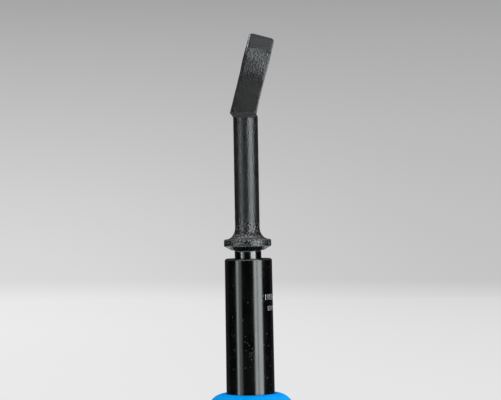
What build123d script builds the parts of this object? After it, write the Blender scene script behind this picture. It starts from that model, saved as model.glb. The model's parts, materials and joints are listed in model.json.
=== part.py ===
"""Pneumatic rivet gun with a pistol handle, standing upright on its rear cap and the heel of its handle.

Frame: +Z up along the barrel's axis, origin at the centre of the rear cap's flat face, handle towards -Y.
The handle leans back by RAKE. Along it, t is the distance from HANDLE_ROOT towards the butt, and s the
distance from its centre line towards the trigger side.
"""

import os
from math import cos, radians, sin

from build123d import *

os.makedirs("parts", exist_ok=True)

INCH = 25.4
RUNNING = 0.05  # radial clearance of a running fit
CLOSE = 0.03  # radial clearance between pieces that screw or press together

# Rivet set: standard 0.401 in shank with a 7/8 in collar, and a flat head that leans to one side.
# The head is given facing -Y, before the whole set is turned by SET_TURN in the barrel.
COLLAR_D = 0.875 * INCH
SHANK_D = 0.401 * INCH
NECK_D = 12.5
SHAFT_D = 11.3
SEAT_GAP = 3.7  # between the barrel's front face and the collar
COLLAR_CONE = 2.0
COLLAR_RIM = 3.4
LEDGE_R = 8.6
FLARE_H = 4.3
SHANK_DEPTH = 25.0  # how far the shank reaches into the barrel
RING_FROM_END = 7.0  # from the shank's end to the O-ring that grips it
NECK_GAP = 0.15  # between the neck and the bushing
TAPER_START = 4.0
TAPER_LENGTH = 8.0
SHAFT_LENGTH = 58.9  # from the collar's rim to the crease where the head begins
SET_TURN = 6.0
HEAD_LEAN = 14.8
HEAD_SHIFT = -1.3
HEAD_WIDTH = 11.3
HEAD_BASE_T = 7.6
HEAD_SECTIONS = (  # distance from the crease, width and thickness: waist, start of the ground facets, tip
    (17.0, 10.9, 7.0),
    (30.6, 11.3, 6.2),
    (37.6, 11.2, 3.8),
)
HEAD_EDGE_R = 0.8
HEEL_DROP = 3.2  # how far below the crease the head's heel meets the shaft
LEDGE_H = 2.4  # height of the sloping ledge between the shaft and each flat of the head
CREASE_SLOPE = 5.0

# Barrel
BARREL_TIP_D = 22.2
BARREL_ROOT_D = 22.7
BARREL_THREAD_D = 25.0
PISTON_D = 0.5 * INCH
PISTON_LENGTH = 38.0
BUSHING_D = 16.0
BUSHING_LENGTH = 24.0
EXHAUST_PORTS = 6
PORT_Z = 98.0
VALVE_TRAVEL = 2.5
VALVE_BORE_R = 5.6
VALVE_SKIRT_R = 7.4
VALVE_HEAD_R = 9.0
DOWEL_D = 2.5
DOWEL_CIRCLE_R = 10.6

# Heights along the barrel's axis
CAP_T = 6.0
GLAND_START = 3.0  # the groove of the cap's O-ring, counted from CAP_T
GLAND_END = 5.2
PLUG_END = 14.0
VALVE_CAP_END = 18.0
VALVE_BOX_END = 30.0
BARREL_REAR = 36.0
THREAD_END = 54.0
HEAD_END = 58.0
DEFLECTOR_END = 67.6
TUBE_END = 112.0
SLEEVE_END = 125.0
BARREL_FRONT = 188.2

# Head of the handle casting, and the sleeve in front of it
HEAD_R = 20.0
HEAD_BORE_R = 13.0
TUBE_R = 15.4
TUBE_BORE_R = 13.2
SLEEVE_R = 20.6
SHOULDER_R = 8.4
CAP_R = 19.0
SPANNER_CIRCLE_R = 14.0
EXHAUST_Z = 63.0
EXHAUST_SLOTS = 9
EXHAUST_SIDE = 0.0  # degrees from +X
DEFLECTOR_R = 20.3
SLEEVE_START = 68.0

# Handle
RAKE = 11.0
HANDLE_ROOT = (-14.0, 40.0)  # Y and Z
HANDLE_WIDTH = 27.6
HANDLE_SECTIONS = (  # t, front, back, width and corner radius of each section
    (-8, 15.5, -29.0, 27.0, 9.0),
    (6, 15.2, -23.0, 27.2, 10.0),
    (16, 15.0, -17.0, 27.2, 11.0),
    (27, 15.2, -14.4, 27.4, 12.0),
    (45, 15.8, -14.8, 27.6, 12.6),
    (64, 15.2, -16.4, 27.6, 12.6),
    (88, 15.6, -16.8, 27.6, 11.5),
    (112, 18.8, -21.0, 28.8, 9.0),
)
GRIP_T = 2.8
GRIP_START = 25.0
GRIP_END = 84.0
BUTT_END = 112.0
INLET_BORE_R = 8.0
INLET_DEPTH = 11.0
PASSAGE_R = 4.0
THROTTLE_T = 30.0
THROTTLE_BORE_R = 5.5
THROTTLE_FLOOR = -9.5
THROTTLE_TOP = 15.8
BOSS_R = 8.0
STEM_R = 2.0
STEM_TIP = 25.1
STEM_HEAD_R = 4.4
SPRING_R = 3.2
SPRING_PITCH = 1.7
SPRING_COILS = 4
WIRE_R = 0.35
REGULATOR_T = 94.0
REGULATOR_R = 4.5
CLIP_SEAT_X = 11.6
CLIP_SEAT_R = 7.4
CLIP_R = 6.6
CLIP_T = 0.8
KNOB_R = 7.0

# Trigger
PIVOT = (-26.4, 58.0)  # Y and Z
PIN_D = 3.0
EAR_R = 4.6
EAR_INNER = 4.7
EAR_OUTER = 7.6
TRIGGER_WIDTH = 13.0

# Air inlet: quarter-inch pipe thread, modelled at its tapping drill
INLET_THREAD_D = 7 / 16 * INCH
NIPPLE_HEX_R = 10.0
NIPPLE_HEX_T = 5.0
NIPPLE_BORE_R = 3.8
STUB_R = 5.6
STUB_END = 128.0
SWIVEL_SEAL_T = 121.5
SNAP_RING_T = 125.6
SWIVEL_HEX_R = 10.6
SWIVEL_START = 117.5
THREAD_SHOULDER_T = 129.4
THROAT_R = 4.4
SWIVEL_END = 140.0

SIN, COS = sin(radians(RAKE)), cos(radians(RAKE))
SHANK_END = BARREL_FRONT - SHANK_DEPTH
COLLAR_Z = BARREL_FRONT + SEAT_GAP
RIM_TOP = COLLAR_Z + COLLAR_CONE + COLLAR_RIM
CREASE_Z = RIM_TOP + SHAFT_LENGTH
BUSHING_REAR = BARREL_FRONT - BUSHING_LENGTH


def on_handle(t, s):
    """Y and Z of the point at t along the handle and s towards its trigger side."""
    return HANDLE_ROOT[0] - COS * t - SIN * s, HANDLE_ROOT[1] - SIN * t + COS * s


def along_handle(t, s=0.0):
    """A plane across the handle at t, with its Z towards the butt and its Y towards the trigger side."""
    return Plane(origin=(0, *on_handle(t, s)), x_dir=(1, 0, 0), z_dir=(0, -COS, -SIN))


def across_handle(t, s=0.0):
    """A plane at t along the handle, with its Z towards the trigger side."""
    return Plane(origin=(0, *on_handle(t, s)), x_dir=(1, 0, 0), z_dir=(0, -SIN, COS))


def beside_handle(t, x=0.0):
    """A plane at t along the handle, with its Z along +X."""
    return Plane(origin=(x, *on_handle(t, 0)), x_dir=(0, -COS, -SIN), z_dir=(1, 0, 0))


def save(part, name):
    """Labels a finished piece and writes its STEP file."""
    part.label = name
    export_step(part, f"parts/{name}.step")


def handle_body(inset):
    """The handle's outer form from head to butt, or its core where inset is more than 0."""
    with BuildPart() as body:
        for t, front, back, width, corner in HANDLE_SECTIONS:
            with BuildSketch(along_handle(t, (front + back) / 2)):
                RectangleRounded(width - 2 * inset, front - back - 2 * inset, corner - inset)
        loft()
    return body.part


# ------------------------------------------------------------------ rivet set, shank ring, barrel, piston

shank_r, neck_r, shaft_r, collar_r = SHANK_D / 2, NECK_D / 2, SHAFT_D / 2, COLLAR_D / 2
taper_top = BARREL_FRONT - TAPER_START
taper_end = taper_top - TAPER_LENGTH
lean, slope = radians(HEAD_LEAN), radians(CREASE_SLOPE)
head_plane = Plane(
    origin=(HEAD_SHIFT, 0, CREASE_Z), x_dir=(cos(lean), 0, -sin(lean)), z_dir=(sin(lean), 0, cos(lean))
)
crease_plane = Plane(origin=(0, 0, CREASE_Z), x_dir=(0, 1, 0), z_dir=(cos(slope), 0, -sin(slope)))
base_width = HEAD_WIDTH / cos(lean)

with BuildPart() as rivet_set:
    with BuildSketch(Plane.XZ):
        with BuildLine():
            Polyline(
                (0, SHANK_END),
                (shank_r - 0.8, SHANK_END),
                (shank_r, SHANK_END + 0.8),
                (shank_r, taper_end),
                (neck_r, taper_top),
                (neck_r, COLLAR_Z),
                (collar_r - 0.6, COLLAR_Z + COLLAR_CONE - 0.2),
                (collar_r, COLLAR_Z + COLLAR_CONE + 0.4),
                (collar_r, RIM_TOP - 0.6),
                (collar_r - 0.6, RIM_TOP),
                (LEDGE_R, RIM_TOP + 0.4),
            )
            flare = TangentArc((shaft_r, RIM_TOP + FLARE_H), (LEDGE_R, RIM_TOP + 0.4), tangent=(0, -1))
            Polyline(
                flare @ 0,
                (shaft_r, CREASE_Z + 1.2),
                (shaft_r - 0.8, CREASE_Z + 2),
                (0, CREASE_Z + 2),
                (0, SHANK_END),
            )
        make_face()
    revolve(axis=Axis.Z)
    # the ledges that thin the round shaft down to the head's two flats
    with BuildSketch(crease_plane):
        for side in (-1, 1):
            Polygon(
                (side * HEAD_BASE_T / 2, 0),
                (side * (shaft_r + 0.2), -LEDGE_H),
                (side * (shaft_r + 0.2), 5),
                (side * HEAD_BASE_T / 2, 5),
                align=None,
            )
    extrude(amount=shaft_r + 1, both=True, mode=Mode.SUBTRACT)
    # the flat head
    with BuildSketch(Plane.XY.offset(CREASE_Z)):
        with Locations((HEAD_SHIFT, 0)):
            RectangleRounded(base_width, HEAD_BASE_T, HEAD_EDGE_R)
    for height, width, thickness in HEAD_SECTIONS:
        with BuildSketch(head_plane.offset(height)):
            with Locations(((width - HEAD_WIDTH) / 2, 0)):
                RectangleRounded(width, thickness, HEAD_EDGE_R)
    loft(ruled=True)
    with BuildSketch(Plane.XZ.offset(HEAD_EDGE_R - HEAD_BASE_T / 2)):
        Polygon(
            (0.3 - shaft_r, CREASE_Z - HEEL_DROP),
            (HEAD_SHIFT - base_width / 2, CREASE_Z + 0.2),
            (0, CREASE_Z + 0.2),
            (0, CREASE_Z - HEEL_DROP),
            align=None,
        )
    extrude(amount=HEAD_BASE_T - 2 * HEAD_EDGE_R)
save(rivet_set.part.rotate(Axis.Z, SET_TURN), "rivet_set")

groove_z = SHANK_END + RING_FROM_END
with BuildPart() as shank_o_ring:
    with Locations((0, 0, groove_z)):
        Torus(shank_r + 0.9, 0.87)
save(shank_o_ring.part, "shank_o_ring")

with BuildPart() as nose_bushing:
    with BuildSketch(Plane.XZ):
        Polygon(
            (shank_r + RUNNING, BUSHING_REAR),
            (BUSHING_D / 2 - 0.5, BUSHING_REAR),
            (BUSHING_D / 2, BUSHING_REAR + 0.5),
            (BUSHING_D / 2, BARREL_FRONT - 0.3),
            (neck_r + 0.7, BARREL_FRONT - 0.3),
            (neck_r + NECK_GAP, BARREL_FRONT - 0.8),
            (neck_r + NECK_GAP, taper_top),
            (shank_r + RUNNING, taper_end - 0.6),
            align=None,
        )
    revolve(axis=Axis.Z)
    with BuildSketch(Plane.XY.offset(groove_z - 1.1)):
        Circle(shank_r + 1.8)
    extrude(amount=2.2, mode=Mode.SUBTRACT)
save(nose_bushing.part, "nose_bushing")

bore_r, tip_r, root_r = PISTON_D / 2 + RUNNING, BARREL_TIP_D / 2, BARREL_ROOT_D / 2
with BuildPart() as barrel:
    with BuildSketch(Plane.XZ):
        Polygon(
            (bore_r, BARREL_REAR),
            (BARREL_THREAD_D / 2 - 0.6, BARREL_REAR),
            (BARREL_THREAD_D / 2, BARREL_REAR + 0.6),
            (BARREL_THREAD_D / 2, THREAD_END),
            (root_r, THREAD_END + 1),
            (root_r, SLEEVE_END - 3),
            (tip_r, BARREL_FRONT - 0.7),
            (tip_r - 0.7, BARREL_FRONT),
            (BUSHING_D / 2 + CLOSE, BARREL_FRONT),
            (BUSHING_D / 2 + CLOSE, BUSHING_REAR),
            (bore_r, BUSHING_REAR),
            align=None,
        )
    revolve(axis=Axis.Z)
    with BuildSketch(Plane.XY.offset(BARREL_REAR)):
        with PolarLocations(DOWEL_CIRCLE_R, 1, start_angle=90):
            Circle(DOWEL_D / 2 + CLOSE)
    extrude(amount=2, mode=Mode.SUBTRACT)
    with PolarLocations(0, EXHAUST_PORTS):
        with Locations(Location((0, 0, PORT_Z), (0, 90, 0))):
            Cylinder(2, 30, align=(Align.CENTER, Align.CENTER, Align.MIN), mode=Mode.SUBTRACT)
save(barrel.part, "barrel")

with BuildPart() as piston:
    with BuildSketch(Plane.XZ):
        Polygon(
            (0, BARREL_REAR + 1),
            (4.2, BARREL_REAR + 1),
            (5.4, BARREL_REAR + 2.2),
            (PISTON_D / 2, BARREL_REAR + 3),
            (PISTON_D / 2, BARREL_REAR + 12),
            (PISTON_D / 2 - 0.8, BARREL_REAR + 12.8),
            (PISTON_D / 2 - 0.8, BARREL_REAR + 18.2),
            (PISTON_D / 2, BARREL_REAR + 19),
            (PISTON_D / 2, BARREL_REAR + PISTON_LENGTH - 2),
            (PISTON_D / 2 - 1.5, BARREL_REAR + 1 + PISTON_LENGTH),
            (0, BARREL_REAR + 1 + PISTON_LENGTH),
            align=None,
        )
    revolve(axis=Axis.Z)
save(piston.part, "piston")

# ------------------------------------------------------------------ valve, between the cap and the barrel

valve_r = HEAD_BORE_R - CLOSE

with BuildPart() as dowel_tool:
    with BuildSketch(Plane.XY.offset(CAP_T)):
        with PolarLocations(DOWEL_CIRCLE_R, 1, start_angle=90):
            Circle(DOWEL_D / 2 + CLOSE)
    extrude(amount=THREAD_END)
dowel_hole = dowel_tool.part

with BuildPart() as valve_cap:
    with BuildSketch(Plane.XY.offset(PLUG_END + CLOSE)):
        Circle(valve_r)
        Circle(1.5, mode=Mode.SUBTRACT)
    extrude(amount=VALVE_CAP_END - PLUG_END - CLOSE)
    add(dowel_hole, mode=Mode.SUBTRACT)
save(valve_cap.part, "valve_cap")

with BuildPart() as valve_box:
    with BuildSketch(Plane.XZ):
        Polygon(
            (VALVE_SKIRT_R, VALVE_CAP_END + CLOSE),
            (valve_r, VALVE_CAP_END + CLOSE),
            (valve_r, VALVE_BOX_END),
            (VALVE_HEAD_R, VALVE_BOX_END),
            (VALVE_HEAD_R, VALVE_CAP_END + 4),
            (VALVE_SKIRT_R, VALVE_CAP_END + 4),
            align=None,
        )
    revolve(axis=Axis.Z)
    with PolarLocations(11.0, 6, start_angle=30):
        with Locations((0, 0, VALVE_CAP_END)):
            Cylinder(1, 20, align=(Align.CENTER, Align.CENTER, Align.MIN), mode=Mode.SUBTRACT)
    add(dowel_hole, mode=Mode.SUBTRACT)
save(valve_box.part, "valve_box")

with BuildPart() as valve:
    with BuildSketch(Plane.XZ):
        Polygon(
            (VALVE_BORE_R, VALVE_CAP_END + 1),
            (VALVE_SKIRT_R - RUNNING, VALVE_CAP_END + 1),
            (VALVE_SKIRT_R - RUNNING, VALVE_CAP_END + 5),
            (VALVE_HEAD_R - RUNNING, VALVE_CAP_END + 5),
            (VALVE_HEAD_R - RUNNING, VALVE_BOX_END - VALVE_TRAVEL - 0.1),
            (VALVE_BORE_R, VALVE_BOX_END - VALVE_TRAVEL - 0.1),
            align=None,
        )
    revolve(axis=Axis.Z)
save(valve.part, "valve")

with BuildPart() as valve_seat:
    with BuildSketch(Plane.XY.offset(VALVE_BOX_END + CLOSE)):
        Circle(valve_r)
        Circle(5.0, mode=Mode.SUBTRACT)
    extrude(amount=BARREL_REAR - VALVE_BOX_END - 2 * CLOSE)
    with PolarLocations(8.5, 8, start_angle=22.5):
        with Locations((0, 0, VALVE_BOX_END)):
            Cylinder(1.2, 20, align=(Align.CENTER, Align.CENTER, Align.MIN), mode=Mode.SUBTRACT)
    add(dowel_hole, mode=Mode.SUBTRACT)
save(valve_seat.part, "valve_seat")

with BuildPart() as dowel_pin:
    with BuildSketch(Plane.XY.offset(PLUG_END + 0.5)):
        with PolarLocations(DOWEL_CIRCLE_R, 1, start_angle=90):
            Circle(DOWEL_D / 2)
    extrude(amount=BARREL_REAR + 1.8 - PLUG_END - 0.5)
    chamfer(dowel_pin.edges().filter_by(GeomType.CIRCLE), 0.3)
save(dowel_pin.part, "dowel_pin")

# ------------------------------------------------------------------ rear cap

plug_r = HEAD_BORE_R - CLOSE
gland_r = plug_r - 1.4
with BuildPart() as rear_cap:
    with BuildSketch(Plane.XZ):
        Polygon(
            (0, 0),
            (CAP_R - 2.2, 0),
            (CAP_R - 0.7, 0.6),
            (CAP_R, 2.0),
            (CAP_R, CAP_T),
            (plug_r, CAP_T),
            (plug_r, CAP_T + GLAND_START),
            (gland_r, CAP_T + GLAND_START),
            (gland_r, CAP_T + GLAND_END),
            (plug_r, CAP_T + GLAND_END),
            (plug_r, PLUG_END - 0.6),
            (plug_r - 0.6, PLUG_END),
            (0, PLUG_END),
            align=None,
        )
    revolve(axis=Axis.Z)
    with PolarLocations(SPANNER_CIRCLE_R, 4, start_angle=45):
        Hole(2.0, 3.5)
save(rear_cap.part, "rear_cap")

with BuildPart() as rear_cap_o_ring:
    with Locations((0, 0, CAP_T + (GLAND_START + GLAND_END) / 2)):
        Torus(plug_r - 0.7, 0.68)
save(rear_cap_o_ring.part, "rear_cap_o_ring")

# ------------------------------------------------------------------ handle casting and its grip cover

outer_handle = handle_body(0)
handle_core = handle_body(GRIP_T)
grip_bore = handle_body(GRIP_T - CLOSE)
grip_middle = (GRIP_START + GRIP_END) / 2
grip_length = GRIP_END - GRIP_START

with BuildPart() as handle_casting:
    add(outer_handle)
    with Locations(along_handle(grip_middle).location):
        Box(80, 80, grip_length, mode=Mode.SUBTRACT)
    add(handle_core)
    with BuildSketch(Plane.XZ):
        Polygon(
            (0, CAP_T + CLOSE),
            (HEAD_R - 1.5, CAP_T + CLOSE),
            (HEAD_R, CAP_T + 1.5),
            (HEAD_R, HEAD_END - 1),
            (HEAD_R - 1, HEAD_END),
            (TUBE_R, HEAD_END),
            (TUBE_R, TUBE_END),
            (0, TUBE_END),
            align=None,
        )
    revolve(axis=Axis.Z)
    # ears that carry the trigger's pin
    with BuildSketch(Plane.YZ):
        with Locations(PIVOT):
            Circle(EAR_R)
        with Locations((PIVOT[0], PIVOT[1] - 8)):
            Rectangle(2 * EAR_R, 16)
    extrude(amount=EAR_OUTER, both=True)
    with BuildSketch(Plane.YZ):
        with Locations(PIVOT):
            Rectangle(2 * EAR_R + 4, 2 * EAR_R + 2)
    extrude(amount=EAR_INNER, both=True, mode=Mode.SUBTRACT)
    with Locations(Location((0, *PIVOT), (0, 90, 0))):
        Cylinder(PIN_D / 2 + CLOSE, 2 * EAR_OUTER + 4, mode=Mode.SUBTRACT)
    # boss that carries the throttle bushing out through the grip cover
    with BuildSketch(across_handle(THROTTLE_T)):
        Circle(BOSS_R)
    extrude(amount=THROTTLE_TOP - CLOSE)
    # main bore: valve chamber, barrel thread, exhaust annulus
    with BuildSketch(Plane.XY.offset(0)):
        Circle(HEAD_BORE_R)
    extrude(amount=BARREL_REAR, mode=Mode.SUBTRACT)
    with BuildSketch(Plane.XY.offset(BARREL_REAR)):
        Circle(BARREL_THREAD_D / 2 + CLOSE)
    extrude(amount=THREAD_END - BARREL_REAR, mode=Mode.SUBTRACT)
    with BuildSketch(Plane.XY.offset(THREAD_END)):
        Circle(TUBE_BORE_R)
    extrude(amount=TUBE_END, mode=Mode.SUBTRACT)
    # exhaust ports under the deflector
    with PolarLocations(0, EXHAUST_PORTS, start_angle=30):
        with Locations(Location((0, 0, EXHAUST_Z), (0, 90, 0))):
            Cylinder(2, 30, align=(Align.CENTER, Align.CENTER, Align.MIN), mode=Mode.SUBTRACT)
    # air passages: inlet bore, passage along the handle, throttle bore, feed to the valve chamber
    with BuildSketch(along_handle(BUTT_END - INLET_DEPTH)):
        Circle(INLET_BORE_R)
    extrude(amount=2 * INLET_DEPTH, mode=Mode.SUBTRACT)
    with BuildSketch(along_handle(THROTTLE_T)):
        Circle(PASSAGE_R)
    extrude(amount=BUTT_END - INLET_DEPTH - THROTTLE_T, mode=Mode.SUBTRACT)
    with BuildSketch(across_handle(THROTTLE_T, THROTTLE_FLOOR)):
        Circle(THROTTLE_BORE_R)
    extrude(amount=40, mode=Mode.SUBTRACT)
    feed_start = on_handle(THROTTLE_T, -3)
    with BuildSketch(Plane(origin=(0, *feed_start), z_dir=(0, -8 - feed_start[0], 27 - feed_start[1]))):
        Circle(3)
    extrude(amount=36, mode=Mode.SUBTRACT)
    # regulator bore, with a seat for its clip
    with Locations(beside_handle(REGULATOR_T).location):
        Cylinder(REGULATOR_R + RUNNING, 60, mode=Mode.SUBTRACT)
    with BuildSketch(beside_handle(REGULATOR_T, -CLIP_SEAT_X)):
        Circle(CLIP_SEAT_R)
    extrude(amount=-6, mode=Mode.SUBTRACT)
    # the heel rests on the same plane as the rear cap
    with Locations((0, -100, -10)):
        Box(80, 80, 20, mode=Mode.SUBTRACT)
save(handle_casting.part, "handle_casting")

with BuildPart() as grip_cover:
    add(outer_handle)
    with Locations(along_handle(grip_middle).location):
        Box(80, 80, grip_length - 0.1, mode=Mode.INTERSECT)
    add(grip_bore, mode=Mode.SUBTRACT)
    with BuildSketch(across_handle(THROTTLE_T)):
        Circle(BOSS_R + CLOSE)
    extrude(amount=30, mode=Mode.SUBTRACT)
save(grip_cover.part, "grip_cover")

# ------------------------------------------------------------------ front sleeve, its bush, exhaust deflector

front_r = TUBE_R + CLOSE
lip_r = root_r + 0.2
with BuildPart() as front_sleeve:
    with BuildSketch(Plane.XZ):
        with BuildLine():
            shoulder = JernArc(
                start=(SLEEVE_R, SLEEVE_END - SHOULDER_R), tangent=(0, 1), radius=SHOULDER_R, arc_size=90
            )
            Polyline(
                shoulder @ 1,
                (lip_r, SLEEVE_END),
                (lip_r, TUBE_END + CLOSE),
                (front_r, TUBE_END + CLOSE),
                (front_r, SLEEVE_START),
                (SLEEVE_R - 1.5, SLEEVE_START),
                (SLEEVE_R, SLEEVE_START + 1.5),
                shoulder @ 0,
            )
        make_face()
    revolve(axis=Axis.Z)
save(front_sleeve.part, "front_sleeve")

with BuildPart() as centring_bush:
    with BuildSketch(Plane.XY.offset(TUBE_END - 9)):
        Circle(TUBE_BORE_R - CLOSE)
        Circle(root_r + CLOSE, mode=Mode.SUBTRACT)
    extrude(amount=8)
    with PolarLocations(12.6, 6, start_angle=0):
        with Locations((0, 0, TUBE_END - 10)):
            Box(2.4, 2, 20, mode=Mode.SUBTRACT)
save(centring_bush.part, "centring_bush")

with BuildPart() as exhaust_deflector:
    with BuildSketch(Plane.XZ):
        Polygon(
            (TUBE_R + RUNNING, HEAD_END + 0.3),
            (DEFLECTOR_R - 1, HEAD_END + 0.3),
            (DEFLECTOR_R, HEAD_END + 1.3),
            (DEFLECTOR_R, DEFLECTOR_END - 1),
            (DEFLECTOR_R - 1, DEFLECTOR_END),
            (TUBE_R + RUNNING, DEFLECTOR_END),
            (TUBE_R + RUNNING, DEFLECTOR_END - 2.6),
            (DEFLECTOR_R - 2, DEFLECTOR_END - 2.6),
            (DEFLECTOR_R - 2, HEAD_END + 2.9),
            (TUBE_R + RUNNING, HEAD_END + 2.9),
            align=None,
        )
    revolve(axis=Axis.Z)
    with PolarLocations(DEFLECTOR_R - 1, EXHAUST_SLOTS, start_angle=EXHAUST_SIDE - 48, angular_range=96):
        with Locations((0, 0, EXHAUST_Z)):
            Box(8, 2, 4.4, mode=Mode.SUBTRACT)
save(exhaust_deflector.part, "exhaust_deflector")

with BuildPart() as exhaust_silencer:
    with BuildSketch(Plane.XY.offset(HEAD_END + 3.1)):
        Circle(DEFLECTOR_R - 2.1)
        Circle(TUBE_R + 0.15, mode=Mode.SUBTRACT)
    extrude(amount=DEFLECTOR_END - 2.8 - HEAD_END - 3.1)
save(exhaust_silencer.part, "exhaust_silencer")

# ------------------------------------------------------------------ trigger and throttle

with BuildPart() as trigger:
    with BuildSketch(Plane.YZ):
        with BuildLine():
            finger = ThreePointArc((PIVOT[0] + 4.4, PIVOT[1] + 9.6), (-43, 64.4), (-61.5, 69.6))
            tip = TangentArc(finger @ 1, (-63.6, 65.4), tangent=finger % 1)
            under = ThreePointArc(tip @ 1, (-46.5, 59.1), (-33.0, 60.9))
            Polyline(
                under @ 1,
                (PIVOT[0] - 4.2, PIVOT[1] + 3),
                (PIVOT[0] + 4.2, PIVOT[1] + 3),
                (PIVOT[0] + 4.4, PIVOT[1] + 9.6),
            )
        make_face()
    extrude(amount=TRIGGER_WIDTH / 2, both=True)
    with BuildSketch(Plane.YZ):
        with Locations(PIVOT):
            Circle(EAR_R + 1.4)
    extrude(amount=TRIGGER_WIDTH, both=True, mode=Mode.SUBTRACT)
    with BuildSketch(Plane.YZ):
        with Locations(PIVOT):
            Circle(EAR_R - 0.6)
        with Locations((PIVOT[0], PIVOT[1] + 4)):
            Rectangle(7.2, 8)
    extrude(amount=EAR_INNER - 0.2, both=True)
    with Locations(Location((0, *PIVOT), (0, 90, 0))):
        Cylinder(PIN_D / 2 + RUNNING, 40, mode=Mode.SUBTRACT)
save(trigger.part, "trigger")

with BuildPart() as trigger_pin:
    with Locations(Location((0, *PIVOT), (0, 90, 0))):
        Cylinder(PIN_D / 2, 2 * EAR_OUTER + 0.6)
    chamfer(trigger_pin.edges().filter_by(GeomType.CIRCLE), 0.3)
save(trigger_pin.part, "trigger_pin")

throttle = across_handle(THROTTLE_T)
with BuildPart() as throttle_bushing:
    with BuildSketch(throttle.offset(4)):
        Circle(THROTTLE_BORE_R - CLOSE)
    extrude(amount=THROTTLE_TOP - 4)
    with BuildSketch(throttle.offset(THROTTLE_TOP)):
        RegularPolygon(THROTTLE_BORE_R + 0.5, 6)
    extrude(amount=2.2)
    with BuildSketch(throttle.offset(THROTTLE_TOP - 6)):
        Circle(STEM_R + RUNNING)
    extrude(amount=30, both=True, mode=Mode.SUBTRACT)
save(throttle_bushing.part, "throttle_bushing")

with BuildPart() as throttle_stem:
    with BuildSketch(throttle.offset(-1.5)):
        Circle(STEM_R)
    extrude(amount=STEM_TIP + 1.5)
    with BuildSketch(throttle.offset(-0.5)):
        Circle(STEM_HEAD_R)
    extrude(amount=3.4)
    fillet(throttle_stem.edges().sort_by(Axis.Z)[-1], 1.2)
save(throttle_stem.part, "throttle_stem")

with BuildPart() as throttle_seat_ring:
    with Locations(throttle.offset(3.45).location):
        Torus(3.1, 0.5)
save(throttle_seat_ring.part, "throttle_seat_ring")

with BuildPart() as throttle_spring:
    with BuildLine():
        coil = Helix(pitch=SPRING_PITCH, height=SPRING_COILS * SPRING_PITCH, radius=SPRING_R)
    with BuildSketch(Plane(origin=coil @ 0, z_dir=coil % 0)):
        Circle(WIRE_R)
    sweep()
throttle_spring_part = throttle.offset(THROTTLE_FLOOR + 0.9).location * throttle_spring.part
save(throttle_spring_part, "throttle_spring")

# ------------------------------------------------------------------ air regulator, across the butt

knob_x = HANDLE_WIDTH / 2 + 0.6
clip_plane = beside_handle(REGULATOR_T, -CLIP_SEAT_X - CLOSE)
seal_plane = beside_handle(REGULATOR_T, 9)
with BuildPart() as regulator:
    with BuildSketch(beside_handle(REGULATOR_T, -CLIP_SEAT_X - 2)):
        Circle(REGULATOR_R)
    extrude(amount=CLIP_SEAT_X + 2 + knob_x)
    with BuildSketch(beside_handle(REGULATOR_T, knob_x)):
        Circle(KNOB_R)
    extrude(amount=5.2)
    fillet(regulator.edges().filter_by(GeomType.CIRCLE).sort_by(Axis.X)[-1], 1.0)
    with BuildSketch(beside_handle(REGULATOR_T, knob_x + 1.2)):
        with PolarLocations(KNOB_R + 0.3, 20):
            Circle(0.65)
    extrude(amount=5, mode=Mode.SUBTRACT)
    with BuildSketch(beside_handle(REGULATOR_T, knob_x + 3.6)):
        SlotOverall(9, 1.8)
    extrude(amount=5, mode=Mode.SUBTRACT)
    # the cross hole that meters the air
    with BuildSketch(along_handle(REGULATOR_T - 10)):
        Circle(2.6)
    extrude(amount=20, mode=Mode.SUBTRACT)
    # grooves for the clip and the seal
    with BuildSketch(clip_plane.offset(CLOSE)):
        Circle(REGULATOR_R + 1)
        Circle(REGULATOR_R - 0.8, mode=Mode.SUBTRACT)
    extrude(amount=-CLIP_T - 2 * CLOSE, mode=Mode.SUBTRACT)
    with BuildSketch(seal_plane):
        Circle(REGULATOR_R + 1)
        Circle(REGULATOR_R - 1.1, mode=Mode.SUBTRACT)
    extrude(amount=0.7, both=True, mode=Mode.SUBTRACT)
save(regulator.part, "regulator")

with BuildPart() as regulator_clip:
    with BuildSketch(clip_plane):
        Circle(CLIP_R)
        Circle(REGULATOR_R - 0.7, mode=Mode.SUBTRACT)
        with Locations((8, 0)):
            Rectangle(16, 3.2, mode=Mode.SUBTRACT)
    extrude(amount=-CLIP_T)
save(regulator_clip.part, "regulator_clip")

with BuildPart() as regulator_seal:
    with Locations(seal_plane.location):
        Torus(REGULATOR_R - 0.52, 0.52)
save(regulator_seal.part, "regulator_seal")

# ------------------------------------------------------------------ air inlet

with BuildPart() as inlet_nipple:
    with BuildSketch(along_handle(BUTT_END - INLET_DEPTH + 0.3)):
        Circle(INLET_BORE_R - CLOSE)
    extrude(amount=INLET_DEPTH - 0.3 + CLOSE)
    with BuildSketch(along_handle(BUTT_END + CLOSE)):
        RegularPolygon(NIPPLE_HEX_R, 6)
    extrude(amount=NIPPLE_HEX_T)
    with BuildSketch(along_handle(BUTT_END + NIPPLE_HEX_T - 1)):
        Circle(STUB_R)
    extrude(amount=STUB_END - BUTT_END - NIPPLE_HEX_T + 1)
    for groove_t, groove_w, depth in ((SWIVEL_SEAL_T, 1.8, 1.1), (SNAP_RING_T, 1.1, 0.8)):
        with BuildSketch(along_handle(groove_t)):
            Circle(STUB_R + 1)
            Circle(STUB_R - depth, mode=Mode.SUBTRACT)
        extrude(amount=groove_w / 2, both=True, mode=Mode.SUBTRACT)
    with BuildSketch(along_handle(BUTT_END - INLET_DEPTH)):
        Circle(NIPPLE_BORE_R)
    extrude(amount=60, mode=Mode.SUBTRACT)
save(inlet_nipple.part, "inlet_nipple")

with BuildPart() as inlet_screen:
    with BuildSketch(along_handle(BUTT_END + 2)):
        Circle(NIPPLE_BORE_R)
        Circle(0.35, mode=Mode.SUBTRACT)
        for row_r, holes in ((1.2, 6), (2.3, 12)):
            with PolarLocations(row_r, holes):
                Circle(0.35, mode=Mode.SUBTRACT)
    extrude(amount=0.5)
save(inlet_screen.part, "inlet_screen")

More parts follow.
